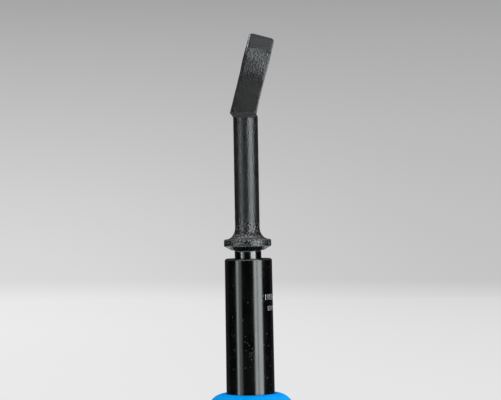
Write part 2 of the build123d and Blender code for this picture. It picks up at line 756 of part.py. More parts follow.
with BuildPart() as swivel_seal:
    with Locations(along_handle(SWIVEL_SEAL_T).location):
        Torus(STUB_R - 0.5, 0.52)
save(swivel_seal.part, "swivel_seal")

with BuildPart() as snap_ring:
    with BuildSketch(along_handle(SNAP_RING_T)):
        Circle(STUB_R + 1.1)
        Circle(STUB_R - 0.75, mode=Mode.SUBTRACT)
        with Locations((0, 6)):
            Rectangle(2.4, 12, mode=Mode.SUBTRACT)
    extrude(amount=0.45, both=True)
save(snap_ring.part, "snap_ring")

with BuildPart() as inlet_swivel:
    with BuildSketch(along_handle(SWIVEL_START)):
        RegularPolygon(SWIVEL_HEX_R, 6)
    extrude(amount=SWIVEL_END - SWIVEL_START)
    chamfer(inlet_swivel.faces().sort_by(Axis.Y)[0].edges(), 1.0)
    chamfer(inlet_swivel.faces().sort_by(Axis.Y)[-1].edges(), 1.0)
    for bore_start, bore_end, bore_radius in (
        (SWIVEL_START, THREAD_SHOULDER_T - 1, STUB_R + RUNNING),
        (SNAP_RING_T - 0.7, SNAP_RING_T + 0.7, STUB_R + 1.3),
        (THREAD_SHOULDER_T - 2, THREAD_SHOULDER_T + 1, THROAT_R),
        (THREAD_SHOULDER_T, SWIVEL_END, INLET_THREAD_D / 2),
    ):
        with BuildSketch(along_handle(bore_start)):
            Circle(bore_radius)
        extrude(amount=bore_end - bore_start, mode=Mode.SUBTRACT)
save(inlet_swivel.part, "inlet_swivel")
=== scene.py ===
import json
import math
from collections import namedtuple

import bmesh
import bpy
from mathutils import Matrix, Vector, noise


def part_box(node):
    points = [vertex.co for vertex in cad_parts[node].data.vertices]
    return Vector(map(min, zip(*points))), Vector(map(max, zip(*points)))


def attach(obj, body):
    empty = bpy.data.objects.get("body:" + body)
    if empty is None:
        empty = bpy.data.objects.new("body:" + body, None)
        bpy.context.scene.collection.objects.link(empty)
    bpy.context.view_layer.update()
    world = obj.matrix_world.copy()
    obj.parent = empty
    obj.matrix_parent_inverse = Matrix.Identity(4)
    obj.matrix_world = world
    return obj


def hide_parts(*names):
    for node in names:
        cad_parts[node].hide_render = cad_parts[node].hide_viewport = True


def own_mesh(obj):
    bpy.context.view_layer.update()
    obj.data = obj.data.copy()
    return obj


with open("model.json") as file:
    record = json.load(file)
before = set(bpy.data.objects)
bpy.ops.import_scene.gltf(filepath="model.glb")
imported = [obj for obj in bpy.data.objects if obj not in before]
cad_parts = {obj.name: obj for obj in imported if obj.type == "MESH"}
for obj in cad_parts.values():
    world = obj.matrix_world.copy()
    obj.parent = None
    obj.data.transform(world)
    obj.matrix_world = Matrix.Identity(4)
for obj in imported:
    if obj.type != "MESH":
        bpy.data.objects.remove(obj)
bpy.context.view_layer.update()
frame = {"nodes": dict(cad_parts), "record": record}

scene = bpy.context.scene
MM = 0.001

# Heights of the top of the rivet set's collar and of the crease at the foot of its head, in millimetres.
RIM_TOP, CREASE = 197.3, 256.2

# ---------------------------------------------------------------- camera
# In front of the handle, level with the rivet set's shaft, and far enough back for an almost flat view.
LENS, SENSOR = 143.7, 36.0
EYE_X, EYE_Z = 0.0015, 0.2156
DISTANCE = 0.9386
LEAN = math.radians(1.0)  # how far the camera is rolled


def make_camera():
    data = bpy.data.cameras.new("camera")
    data.lens, data.sensor_width = LENS, SENSOR
    data.clip_start, data.clip_end = 0.05, 60
    camera = bpy.data.objects.new("camera", data)
    scene.collection.objects.link(camera)
    upright = Matrix.Rotation(math.radians(90), 4, "X")
    roll = Matrix.Rotation(LEAN, 4, "Y")
    camera.matrix_world = Matrix.Translation((EYE_X, -DISTANCE, EYE_Z)) @ roll @ upright
    scene.camera = camera


# ---------------------------------------------------------------- node helpers
FACTOR, FIRST, SECOND, MIXED = 0, 6, 7, 2  # sockets of a Mix node that mixes colours


def grey(v):
    return (v, v, v, 1.0)


def srgb(r, g, b):
    """A colour in 0 to 255, as the linear colour that a shader takes."""
    def linear(v):
        v /= 255
        return v / 12.92 if v <= 0.04045 else ((v + 0.055) / 1.055) ** 2.4
    return (linear(r), linear(g), linear(b), 1.0)


class Graph:
    """A short way to write the nodes of a material or of the world."""

    def __init__(self, name, owner=None):
        self.owner = owner or bpy.data.materials.new(name)
        self.owner.use_nodes = True
        self.tree = self.owner.node_tree
        self.tree.nodes.clear()
        self.place = self.add("ShaderNodeTexCoord").outputs["Object"]

    def add(self, kind, **inputs):
        """A node with these inputs, where an underscore in a name stands for a space."""
        node = self.tree.nodes.new(kind)
        for name, value in inputs.items():
            self.feed(node.inputs[name.replace("_", " ")], value)
        return node

    def feed(self, socket, value):
        if isinstance(value, bpy.types.NodeSocket):
            self.tree.links.new(value, socket)
        else:
            socket.default_value = value

    def noise(self, scale, detail=4.0, rough=0.55, stretch=None):
        place = self.place
        if stretch is not None:
            place = self.add("ShaderNodeMapping", Vector=place, Scale=stretch).outputs["Vector"]
        node = self.add("ShaderNodeTexNoise", Vector=place, Scale=scale, Detail=detail, Roughness=rough)
        return node.outputs["Fac"]

    def cells(self, scale):
        return self.add("ShaderNodeTexVoronoi", Vector=self.place, Scale=scale).outputs["Distance"]

    def ramp(self, fac, *stops):
        node = self.add("ShaderNodeValToRGB", Fac=fac)
        elements = node.color_ramp.elements
        while len(elements) < len(stops):
            elements.new(0.5)
        for element, (place, value) in zip(elements, stops):
            element.position = place
            element.color = value if isinstance(value, tuple) else grey(value)
        return node.outputs["Color"]

    def mix(self, fac, a, b, kind="MIX"):
        node = self.add("ShaderNodeMix")
        node.data_type = "RGBA"
        node.blend_type = kind
        self.feed(node.inputs[FACTOR], fac)
        self.feed(node.inputs[FIRST], a)
        self.feed(node.inputs[SECOND], b)
        return node.outputs[MIXED]

    def math(self, kind, *values):
        node = self.add("ShaderNodeMath")
        node.operation = kind
        for value, socket in zip(values, node.inputs):
            self.feed(socket, value)
        return node.outputs[0]

    def inside(self, value, low, high):
        """One where the value lies between the limits, otherwise nothing."""
        above = self.math("GREATER_THAN", value, low)
        below = self.math("LESS_THAN", value, high)
        return self.math("MULTIPLY", above, below)

    def remap(self, value, low, high, curve="LINEAR"):
        """The value's way from low to high, as 0 to 1."""
        node = self.add("ShaderNodeMapRange", Value=value, From_Min=low, From_Max=high)
        node.interpolation_type = curve
        return node.outputs[0]

    def split(self, vector):
        return tuple(self.add("ShaderNodeSeparateXYZ", Vector=vector).outputs)

    def attribute(self, name):
        node = self.add("ShaderNodeAttribute")
        node.attribute_name = name
        return node.outputs["Fac"]

    def bump(self, height, distance, strength):
        return self.add("ShaderNodeBump", Height=height, Distance=distance, Strength=strength).outputs[0]

    def blend(self, fac, a, b):
        node = self.add("ShaderNodeMixShader", Fac=fac)
        self.feed(node.inputs[1], a)
        self.feed(node.inputs[2], b)
        return node.outputs[0]

    def end(self, shader, kind="ShaderNodeOutputMaterial"):
        """Ends the graph with this shader as the surface."""
        self.feed(self.add(kind).inputs["Surface"], shader)
        return self.owner

    def surface(self, **inputs):
        """Ends the graph with the principled shader with these inputs."""
        return self.end(self.add("ShaderNodeBsdfPrincipled", **inputs).outputs["BSDF"])


# ---------------------------------------------------------------- materials
# Each row of printed bars: lowest and highest point in mm, then first and last angle and pitch in
# degrees, to the right from the camera's side.
MARK_ROWS = ((168.9, 171.6, 43, 95, 8.4), (163.9, 166.1, 52, 92, 7.2))
MARK_SHARE = 0.3  # share of the pitch that a bar fills

NECK_TOP = RIM_TOP - 5.1  # the rivet set is polished below this
COLLAR_LOW = RIM_TOP - 3.2  # the collar's underside starts here
FLARE_TOP, FLARE_FOOT = RIM_TOP + 10, RIM_TOP + 3  # the grain, and the painted glints on it, show more from the first down to the second
BAND_LOW, BAND_HIGH = -2.0, 38.0  # heights above the crease between which the head's finish and the painted shade at the crease change

# Stretch of the fine rings on metal turned round Z and round Y.
ALONG_Z = (0.2, 0.2, 9.0)
ALONG_Y = (0.2, 9.0, 0.2)


def printed_marks(g):
    """Rows of small plain bars round the barrel's right side, where the real one is printed."""
    x, y, z = g.split(g.place)
    angle = g.math("DEGREES", g.math("ARCTAN2", x, g.math("MULTIPLY", y, -1.0)))
    height = g.math("MULTIPLY", z, 1 / MM)
    marks = 0.0
    for low, high, first, last, pitch in MARK_ROWS:
        turn = g.math("DIVIDE", g.math("SUBTRACT", angle, first), pitch)
        bar = g.math("LESS_THAN", g.math("FRACT", turn), MARK_SHARE)
        row = g.math("MULTIPLY", g.inside(height, low, high), g.inside(angle, first, last))
        marks = g.math("ADD", marks, g.math("MULTIPLY", row, bar))
    worn = g.ramp(g.noise(1400, 4), (0.28, 0.25), (0.5, 1.0))
    return g.math("MULTIPLY", marks, worn)


def barrel_black():
    """Polished black oxide with a little haze, dust in places, faint turning lines and the printed marks."""
    g = Graph("barrel_black")
    haze = g.ramp(g.noise(90, 5), (0.35, 0.0), (0.7, 1.0))
    specks = g.ramp(g.cells(700), (0.07, 1.0), (0.17, 0.0))
    dusty = g.ramp(g.noise(240, 1), (0.52, 0.0), (0.57, 1.0))
    dust = g.math("MULTIPLY", g.math("MULTIPLY", specks, dusty), 0.7)
    lines = g.noise(260, 3, 0.6, (0.15, 0.15, 8.0))
    clean = g.mix(haze, (0.0003, 0.0003, 0.0004, 1), (0.0012, 0.0012, 0.0014, 1))
    rough = g.mix(haze, grey(0.15), grey(0.2))
    marks = printed_marks(g)
    return g.surface(
        Base_Color=g.mix(marks, g.mix(dust, clean, srgb(95, 98, 100)), srgb(150, 152, 153)),
        Roughness=g.mix(g.math("MAXIMUM", dust, marks), rough, grey(0.6)),
        Normal=g.bump(g.mix(0.5, lines, g.noise(600, 3)), 0.00001, 0.3),
    )


def up_head(*stops):
    """Ramp stops at heights above the crease."""
    return [((height - BAND_LOW) / (BAND_HIGH - BAND_LOW), level) for height, level in stops]


def forged_black():
    """Black oxide on a shot-blasted forging.

    Its grain shows most on the flare and the collar, and hardly on the head's lower half and the ground
    facet. Painted glints lighten the grain's peaks, most on the flare and the collar, and a painted shade
    darkens the band at the crease. Chips are bright on the collar's rim and on the tip's left edge. The neck
    and the shank below the collar are turned and polished.
    """
    g = Graph("forged_black")
    height = g.math("MULTIPLY", g.split(g.place)[2], 1 / MM)
    neck = g.math("LESS_THAN", height, NECK_TOP)
    band = g.remap(height, CREASE + BAND_LOW, CREASE + BAND_HIGH)
    calm = g.ramp(band, *up_head((-0.4, 0.0), (2.0, 0.9), (13.2, 0.85), (19.6, 0.0)))
    # painted shade: the band at the crease between the shaft and the head is made near black and rough
    painted_crease_shade = g.ramp(band, *up_head((-2.0, 0.0), (-1.84, 1.0), (0.0, 1.0), (0.8, 0.0)))
    foot = g.remap(height, FLARE_TOP, FLARE_FOOT)
    # where the painted glints are brightest: the flare and the collar above its underside
    collar = g.math("MULTIPLY", foot, g.math("GREATER_THAN", height, COLLAR_LOW))
    ground = g.attribute("ground")

    pits = g.ramp(g.cells(1350), (0.15, 0.0), (0.75, 1.0))
    grain = g.mix(0.5, g.noise(1400, 3, 0.6), pits)
    patches = g.ramp(g.noise(95, 4), (0.35, 0.0), (0.7, 1.0))
    # painted glints: the grain's peaks get a lighter colour that stands in for sparkle of light
    painted_glints = g.ramp(grain, (0.6, 0.0), (0.78, 1.0))
    chips = g.math("MULTIPLY", g.attribute("wear"), g.ramp(g.noise(1100, 3), (0.36, 0.0), (0.5, 1.0)))

    oxide = g.mix(patches, srgb(7, 7, 7), srgb(11, 11, 11))
    # painted highlight: the glints' lighter colour over the oxide, brighter still on the flare and collar
    forged = g.mix(painted_glints, oxide, g.mix(collar, srgb(38, 38, 40), srgb(84, 85, 88)))
    forged = g.mix(calm, forged, g.mix(patches, srgb(15, 14, 14), srgb(20, 19, 19)))
    # the crease's painted shade over the forged colour
    forged = g.mix(painted_crease_shade, forged, srgb(3, 3, 3))
    colour = g.mix(neck, g.mix(ground, forged, srgb(11, 10, 12)), srgb(78, 79, 80))

    rough = g.mix(ground, g.mix(patches, grey(0.27), grey(0.34)), grey(0.37))
    rough = g.mix(calm, g.mix(foot, rough, grey(0.2)), grey(0.36))
    rough = g.mix(painted_crease_shade, rough, grey(0.6))

    smooth = g.math("MAXIMUM", g.math("MULTIPLY", g.math("MAXIMUM", ground, calm), 0.9), neck)
    shaft_depth = g.math("MULTIPLY_ADD", foot, 0.08, 0.5)
    head_loss = g.ramp(band, *up_head((-0.8, 0.0), (1.2, 0.2)))
    depth = g.math("MULTIPLY", g.math("SUBTRACT", 1.0, smooth), g.math("SUBTRACT", shaft_depth, head_loss))
    return g.surface(
        Base_Color=g.mix(chips, colour, srgb(185, 187, 191)),
        Metallic=neck,
        Roughness=g.mix(neck, rough, grey(0.19)),
        Normal=g.bump(grain, 0.00032, depth),
    )


def blue_rubber():
    """Moulded rubber, semi-matte."""
    g = Graph("blue_rubber")
    patches = g.ramp(g.noise(55, 4), (0.35, 0.0), (0.7, 1.0))
    dirt = g.ramp(g.noise(170, 6, 0.65), (0.6, 0.0), (0.85, 0.3))
    base = g.mix(patches, (0.0001, 0.195, 0.54, 1), (0.0001, 0.21, 0.58, 1))
    return g.surface(
        Base_Color=g.mix(dirt, base, (0.001, 0.14, 0.5, 1)),
        Roughness=g.mix(patches, grey(0.7), grey(0.8)),
        Specular_IOR_Level=0.03,
        Normal=g.bump(g.noise(2400, 3), 0.00005, 0.45),
    )


def powder_coat():
    """Black powder coat on a casting: fine orange peel and a few paler scuffs."""
    g = Graph("handle_paint")
    patches = g.ramp(g.noise(70, 4), (0.35, 0.0), (0.7, 1.0))
    peel = g.mix(0.5, g.noise(900, 2), g.cells(1300))
    scuffs = g.ramp(g.noise(420, 6, 0.7, (1, 1, 0.3)), (0.66, 0.0), (0.8, 0.5))
    base = g.mix(patches, srgb(17, 17, 18), srgb(25, 25, 27))
    return g.surface(
        Base_Color=g.mix(scuffs, base, srgb(52, 53, 55)),
        Roughness=g.mix(patches, grey(0.38), grey(0.5)),
        Normal=g.bump(peel, 0.00012, 0.5),
    )


def turned_metal(name, dark, light, rough, axis, metallic=1.0):
    """Turned metal: fine rings round an axis, given as the stretch of the marks in X, Y and Z."""
    g = Graph(name)
    rings = g.noise(300, 4, 0.6, axis)
    patches = g.ramp(g.noise(140, 5), (0.3, 0.0), (0.7, 1.0))
    return g.surface(
        Base_Color=g.mix(patches, dark, light),
        Metallic=metallic,
        Roughness=g.mix(g.ramp(rings, (0.3, 0.0), (0.7, 1.0)), grey(rough - 0.05), grey(rough + 0.08)),
        Normal=g.bump(rings, 0.00003, 0.35),
    )


def cast_metal(name, dark, light, rough, scale, depth, metallic=1.0):
    """Metal or moulded stuff with an even grain and soft patches."""
    g = Graph(name)
    patches = g.ramp(g.noise(scale, 5), (0.3, 0.0), (0.7, 1.0))
    return g.surface(
        Base_Color=g.mix(patches, dark, light),
        Metallic=metallic,
        Roughness=g.mix(patches, grey(rough - 0.05), grey(rough + 0.06)),
        Normal=g.bump(g.noise(scale * 7, 4), depth, 0.5),
    )


MATERIALS = {
    "forged_black": forged_black(),
    "barrel_black": barrel_black(),
    "blue_rubber": blue_rubber(),
    "handle_paint": powder_coat(),
    "black_steel": turned_metal("black_steel", srgb(22, 22, 24), srgb(34, 34, 36), 0.34, ALONG_Z, 0.5),
    "bright_steel": turned_metal("bright_steel", srgb(150, 150, 152), srgb(182, 182, 184), 0.22, ALONG_Z),
    "satin_steel": turned_metal("satin_steel", srgb(138, 139, 141), srgb(168, 168, 170), 0.3, ALONG_Y),
    "spring_steel": cast_metal("spring_steel", srgb(110, 110, 112), srgb(142, 142, 144), 0.3, 200, 0.00002),
    "brass_fitting": turned_metal("brass_fitting", srgb(172, 134, 66), srgb(206, 168, 94), 0.28, ALONG_Z),
    "seal_rubber": cast_metal("seal_rubber", srgb(14, 14, 14), srgb(21, 21, 21), 0.55, 300, 0.00003, 0.0),
    "felt": cast_metal("felt", srgb(92, 89, 84), srgb(132, 129, 122), 0.9, 500, 0.0003, 0.0),
    "cap_black": turned_metal("cap_black", srgb(16, 16, 18), srgb(26, 26, 28), 0.32, ALONG_Z, 0.2),
}


def dress_cad_nodes():
    """Gives every CAD node the material of its slot."""
    slots = {s["node"]: s["material_slot"] for s in frame["record"]["subparts"]}
    for name, node in frame["nodes"].items():
        node.data.materials.clear()
        node.data.materials.append(MATERIALS[slots[name]])


# ---------------------------------------------------------------- mesh helpers
def mesh_object(name, verts, faces):
    """A smooth-shaded object."""
    mesh = bpy.data.meshes.new(name)
    mesh.from_pydata(verts, [], faces)
    mesh.polygons.foreach_set("use_smooth", [True] * len(mesh.polygons))
    mesh.update()
    obj = bpy.data.objects.new(name, mesh)
    scene.collection.objects.link(obj)
    return obj


def band_faces(count, row, after):
    """Faces between two closed rows of count points."""
    a, b = row * count, after * count
    return [(a + i, a + (i + 1) % count, b + (i + 1) % count, b + i) for i in range(count)]


def revolved(name, profile, steps=128, closed=False):
    """A surface of (radius, height) points turned round Z, whose last row joins the first if closed."""
    angles = [math.tau * i / steps for i in range(steps)]
    verts = [(r * math.cos(a), r * math.sin(a), z) for r, z in profile for a in angles]
    faces = []
    for row in range(len(profile) - (0 if closed else 1)):
        faces += band_faces(steps, row, (row + 1) % len(profile))
    return mesh_object(name, verts, faces)


def lofted(name, rings, attributes):
    """A closed mesh through rings of points, with a fan on each end and one float attribute per name."""
    count = len(rings[0])
    verts = [p for ring in rings for p in ring]
    faces = []
    for row in range(len(rings) - 1):
        faces += band_faces(count, row, row + 1)
    for ring, start in ((rings[0], 0), (rings[-1], (len(rings) - 1) * count)):
        middle = len(verts)
        verts.append(sum(ring, Vector()) / count)
        for i in range(count):
            j = (i + 1) % count
            faces.append((start + j, start + i, middle) if start == 0 else (start + i, start + j, middle))
    obj = mesh_object(name, verts, faces)
    for key, rows in attributes.items():
        layer = obj.data.attributes.new(key, "FLOAT", "POINT")
        values = [v for row in rows for v in row]
        values += [rows[0][0], rows[-1][0]]
        layer.data.foreach_set("value", values)
    return obj


def cad_copy(node, name):
    """A welded copy of a CAD node's mesh."""
    mesh = frame["nodes"][node].data.copy()
    mesh.name = name
    work = bmesh.new()
    work.from_mesh(mesh)
    bmesh.ops.remove_doubles(work, verts=work.verts, dist=2e-6)
    work.to_mesh(mesh)
    work.free()
    mesh.materials.clear()
    obj = bpy.data.objects.new(name, mesh)
    scene.collection.objects.link(obj)
    return obj


def baked(obj):
    """Applies an object's modifiers to its mesh."""
    graph = bpy.context.evaluated_depsgraph_get()
    mesh = bpy.data.meshes.new_from_object(obj.evaluated_get(graph))
    obj.modifiers.clear()
    obj.data = mesh
    mesh.polygons.foreach_set("use_smooth", [True] * len(mesh.polygons))
    return obj


def softened(node, name, voxel, rounds):
    """A CAD node remeshed finely and smoothed, so that its edges are rounded as on a casting."""
    obj = cad_copy(node, name)
    remesh = obj.modifiers.new("remesh", "REMESH")
    remesh.mode = "VOXEL"
    remesh.voxel_size = voxel
    smooth = obj.modifiers.new("smooth", "SMOOTH")
    smooth.factor = 0.5
    smooth.iterations = rounds
    return baked(obj)


def finish_piece(obj, node, body, slot):
    """Puts a piece in a CAD node's place, on a body and with a slot's material."""
    obj.data.materials.clear()
    obj.data.materials.append(MATERIALS[slot])
    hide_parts(node)
    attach(obj, body)


def between(a, b, f):
    return a + (b - a) * f


def ease(f):
    """A smooth step from 0 to 1."""
    f = min(max(f, 0.0), 1.0)
    return f * f * (3 - 2 * f)


def straight(start, end, steps):
    """Points on the way from start to end, without the start."""
    shares = [i / steps for i in range(1, steps + 1)]
    return [(between(start[0], end[0], f), between(start[1], end[1], f)) for f in shares]


def arc(centre, radii, first, last, steps):
    """Points on an upright ellipse between two angles in degrees, without the first."""
    angles = [math.radians(between(first, last, i / steps)) for i in range(1, steps + 1)]
    return [(centre[0] + radii[0] * math.cos(a), centre[1] + radii[1] * math.sin(a)) for a in angles]


# ---------------------------------------------------------------- stage and light
FLOOR_R = 3.37  # where the floor ends and the backdrop rises
WALL_TOP = 2.6
TONE_TOP = 0.6466  # height on the backdrop where its tone stops falling
HALF_WIDTH = 0.6  # half the width over which the tones fall from left to right
GLOSS_R = 0.75  # only the floor inside this shows in the gun's gloss
NEAR_R, FAR_R = 0.5, 1.15  # the floor is lit by the lamps within the first and glows evenly beyond the second

# Greys in 0 to 255. The backdrop's go up from the floor, the floor's go out from FAR_R.
BACKDROP_LEFT = (
    (0.0, 233.5), (0.027, 228), (0.067, 218.5), (0.2, 214.5),
    (0.333, 209.5), (0.6, 194.5), (0.867, 177), (1, 165.5),
)
BACKDROP_RIGHT = (
    (0.0, 216.5), (0.027, 209.5), (0.067, 197.5), (0.333, 192),
    (0.6, 184.5), (0.867, 172.5), (1, 163.5),
)
FLOOR_LEFT = ((0.0, 235), (0.6, 236), (1.0, 233.5))
FLOOR_RIGHT = ((0.0, 227.5), (0.6, 221.5), (1.0, 216.5))

COOL, COOLER, WHITE = (0.93, 0.99, 1.0), (0.93, 1.0, 1.0), (1, 1, 1)
AIM = Vector((0, 0, 0.2))  # where the lamps point
# Name, azimuth, height, distance, width, length, power, tint, and whether it shows in the gloss.
LAMPS = (
    ("left_core", -57.5, 0.3, 1.5, 0.27, 1.5, 7.6, COOLER, True),
    ("left_inner", -44.5, 0.3, 1.5, 0.42, 1.5, 3.4, COOLER, True),
    ("right_inner", 32.4, 0.3, 1.5, 0.4, 1.5, 14.6, COOL, True),
    ("right_outer", 54.5, 0.3, 1.5, 0.62, 1.5, 23.5, COOL, True),
    ("overhead", 180, 2.3, 0.3, 1.8, 1.8, 34, WHITE, True),
    ("front_top", 0, 2.0, 1.2, 0.9, 0.9, 21, WHITE, False),
    ("back_left", -140, 0.9, 1.8, 0.7, 1.4, 16, WHITE, False),
    ("back_right", 140, 0.9, 1.8, 0.7, 1.4, 16, WHITE, False),
)


def tones(stops):
    return [(place, srgb(v, v, v)) for place, v in stops]


def side_fade(g, x):
    return g.remap(x, -HALF_WIDTH, HALF_WIDTH, "SMOOTHSTEP")


def backdrop_tone(g):
    """Grey that falls with height, level in the camera's view, and from left to right."""
    x, _, z = g.split(g.place)
    level = g.math("ADD", z, g.math("MULTIPLY", x, math.tan(LEAN)))
    height = g.remap(level, 0.0, TONE_TOP)
    left = g.ramp(height, *tones(BACKDROP_LEFT))
    right = g.ramp(height, *tones(BACKDROP_RIGHT))
    return g.mix(side_fade(g, x), left, right)


def make_wall():
    """A glowing backdrop that the camera sees and the gun doesn't."""
    wall = revolved("backdrop", [(FLOOR_R, 0.0), (FLOOR_R, 1.0), (FLOOR_R, WALL_TOP)])
    g = Graph("backdrop_grey")
    wall.data.materials.append(g.end(g.add("ShaderNodeEmission", Color=backdrop_tone(g)).outputs[0]))
    for ray in ("diffuse", "glossy", "transmission", "shadow"):
        setattr(wall, "visible_" + ray, False)


def floor_pale():
    """Matte near the gun, and beyond it the tones that meet the backdrop's."""
    g = Graph("floor_pale")
    x, y, _ = g.split(g.place)
    flat = g.add("ShaderNodeCombineXYZ", X=x, Y=y)
    distance = g.add("ShaderNodeVectorMath", Vector=flat.outputs[0])
    distance.operation = "LENGTH"
    radius = distance.outputs["Value"]
    far = g.remap(radius, FAR_R, FLOOR_R)
    tone = g.mix(side_fade(g, x), g.ramp(far, *tones(FLOOR_LEFT)), g.ramp(far, *tones(FLOOR_RIGHT)))
    glow = g.add("ShaderNodeEmission", Color=tone)
    matte = g.add("ShaderNodeBsdfDiffuse", Color=grey(0.6))
    return g.end(g.blend(g.remap(radius, NEAR_R, FAR_R), matte.outputs[0], glow.outputs[0]))


def make_floor():
    """Pale floor. Only its middle shows in the gun's gloss: a wider one would fog the upright barrel."""
    middle = revolved("floor", [(0.0, 0.0), (GLOSS_R / 3, 0.0), (GLOSS_R, 0.0)])
    outer = revolved("floor_outer", [(GLOSS_R, 0.0), (FAR_R, 0.0), (FLOOR_R, 0.0)])
    outer.visible_glossy = False
    material = floor_pale()
    for part in (middle, outer):
        part.data.materials.append(material)


def make_world():
    """Dark round the gun, so that its black parts keep clear highlights, with soft light from above."""
    scene.world = bpy.data.worlds.new("world")
    g = Graph("world", scene.world)
    x, y, z = g.split(g.add("ShaderNodeTexCoord").outputs["Generated"])
    above = g.ramp(z, (0.0, 0.006), (0.35, 0.03), (0.8, 0.36))
    behind_left = g.ramp(y, (0.38, 0.0), (0.5, 0.06), (0.7, 0.05), (0.85, 0.03))
    behind_right = g.ramp(y, (0.5, 0.0), (0.7, 0.05), (0.85, 0.07))
    behind = g.mix(g.ramp(x, (0.0, 0.0), (0.3, 1.0)), behind_left, behind_right)
    light = g.add("ShaderNodeBackground", Color=g.mix(1.0, above, behind, "ADD"))
    seen = g.add("ShaderNodeBackground", Color=srgb(165, 165, 165))
    by_camera = g.add("ShaderNodeLightPath").outputs["Is Camera Ray"]
    g.end(g.blend(by_camera, light.outputs[0], seen.outputs[0]), "ShaderNodeOutputWorld")


def softbox(name, azimuth, height, distance, width, length, power, tint, in_gloss):
    """A softbox at azimuth degrees from the camera's side, positive to the right, aimed at the gun."""
    data = bpy.data.lights.new(name, "AREA")
    data.shape = "RECTANGLE"
    data.size, data.size_y = width, length
    data.energy = power
    data.color = tint
    light = bpy.data.objects.new(name, data)
    a = math.radians(azimuth)
    light.location = (distance * math.sin(a), -distance * math.cos(a), height)
    light.rotation_mode = "QUATERNION"
    light.rotation_quaternion = (AIM - light.location).to_track_quat("-Z", "Y")
    light.visible_camera = False
    light.visible_glossy = in_gloss
    scene.collection.objects.link(light)


def make_stage():
    make_wall()
    make_floor()
    make_world()
    for lamp in LAMPS:
        softbox(*lamp)


# ---------------------------------------------------------------- rivet set, in millimetres
AROUND = 200  # points in a ring
SHANK_R, NECK_R, SHAFT_R, COLLAR_R = 5.093, 6.25, 5.8, 11.11
SHANK_CHAMFER = 0.8
TAPER_LOW, TAPER_HIGH = 12.9, 21.0  # from the shank's end
SUPPORT = 0.2  # distance of the extra rows that keep the shading crisp beside a corner
UNDERSIDE_R = NECK_R + 1.5
UNDERSIDE_Z, CONE_TOP_Z = RIM_TOP - 5.2, RIM_TOP - 3.45
LOWER_EDGE_R, EDGE_R = 0.4, 0.85  # rounding of the collar's rim below and above
TOP_R = 9.8  # where the collar's flat top meets the flare
FLARE_R, FLARE_H = 4.25, 5.6
FLARE_ANGLE = 86
LEDGE_H = 1.9  # height over which the round shaft turns into the flat head
LEDGE_TILT = 5  # degrees by which the head's foot tips to the right
LEDGE_STEPS = 10

PLAY, PLAY_START, PLAY_FADE = 0.2, RIM_TOP - 9, 5
HEAD_TURN = math.radians(6.0)  # how the set stands in the barrel
HEAD_SHIFT = -1.3  # of the crease's middle from the shaft's
HEAD_LEAN = math.radians(14.8)
HEAD_LENGTH = 37.6
HEAD_STEPS = 90
HEAD_LEFT, HEAD_RIGHT = 5.72, 6.05  # half widths
LEFT_CORNER, RIGHT_CORNER = 0.7, 1.5  # rounding of the tip
FOOT_FLARE = 0.19  # the head is this much wider on each side at its foot
WAIST, WAIST_LENGTH = 0.12, 32  # hollow of the right edge
FOOT_HALF, FACET_HALF, TIP_HALF = 3.8, 3.1, 1.9  # half thicknesses
FACET_START = 30.6
GROUND_START, GROUND_FADE = 29.6, 2.2  # where the forged grain gives way to the facet
TIP_ROUND = 0.35
TWIST_FOOT, TWIST_TOP = -2.0, 4.0  # degrees, of the forged faces
CROWN = 0.04
RIM_ROUGHNESS, FORGED_ROUGHNESS, FORGED_WAVE = 0.09, 0.014, 0.05

Station = namedtuple("Station", "along left right half power tilt twist ground")


def play(z):
    """Shift of the set to the left at a height: nothing inside the nose, all of the play above it."""
    return -PLAY * ease((z - PLAY_START) / PLAY_FADE)


def turned(point):
    """A point of the head in millimetres, turned with the set in the barrel and in metres."""
    c, s = math.cos(HEAD_TURN), math.sin(HEAD_TURN)
    return Vector((point.x * c - point.y * s + play(point.z), point.x * s + point.y * c, point.z)) * MM


def set_profile():
    """Radius and height of the turned part, from the shank's end to the foot of the ledges."""
    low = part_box("rivet_set")[0].z / MM
    lower_edge_z = CONE_TOP_Z + LOWER_EDGE_R
    upper_edge_z = RIM_TOP - 0.05 - EDGE_R
    points = [(0.5, low), (SHANK_R - SHANK_CHAMFER, low), (SHANK_R, low + SHANK_CHAMFER), (SHANK_R, low + 7)]
    points += [(SHANK_R, low + TAPER_LOW - SUPPORT), (SHANK_R, low + TAPER_LOW)]
    points += [(NECK_R, low + TAPER_HIGH), (NECK_R, low + TAPER_HIGH + SUPPORT)]
    points += [(NECK_R, UNDERSIDE_Z - 1.0), (NECK_R, UNDERSIDE_Z - 0.3), (NECK_R + 0.1, UNDERSIDE_Z - 0.15)]
    points += [(UNDERSIDE_R, UNDERSIDE_Z)]
    points += straight((UNDERSIDE_R, UNDERSIDE_Z), (COLLAR_R - 0.45, CONE_TOP_Z), 10)
    points += arc((COLLAR_R - LOWER_EDGE_R, lower_edge_z), (LOWER_EDGE_R, LOWER_EDGE_R), -90, 0, 7)
    points += straight((COLLAR_R, lower_edge_z + 0.05), (COLLAR_R, upper_edge_z), 9)
    points += arc((COLLAR_R - EDGE_R, upper_edge_z), (EDGE_R, EDGE_R), 0, 90, 7)
    points += straight((COLLAR_R - EDGE_R - 0.1, RIM_TOP - 0.03), (TOP_R, RIM_TOP + 0.04), 6)
    flare_centre = (SHAFT_R + FLARE_R, RIM_TOP + FLARE_H)
    points += arc(flare_centre, (FLARE_R, FLARE_H), 180 + FLARE_ANGLE, 180, 18)
    points += straight((SHAFT_R, RIM_TOP + FLARE_H + 0.6), (SHAFT_R, CREASE - LEDGE_H), 60)
    return points


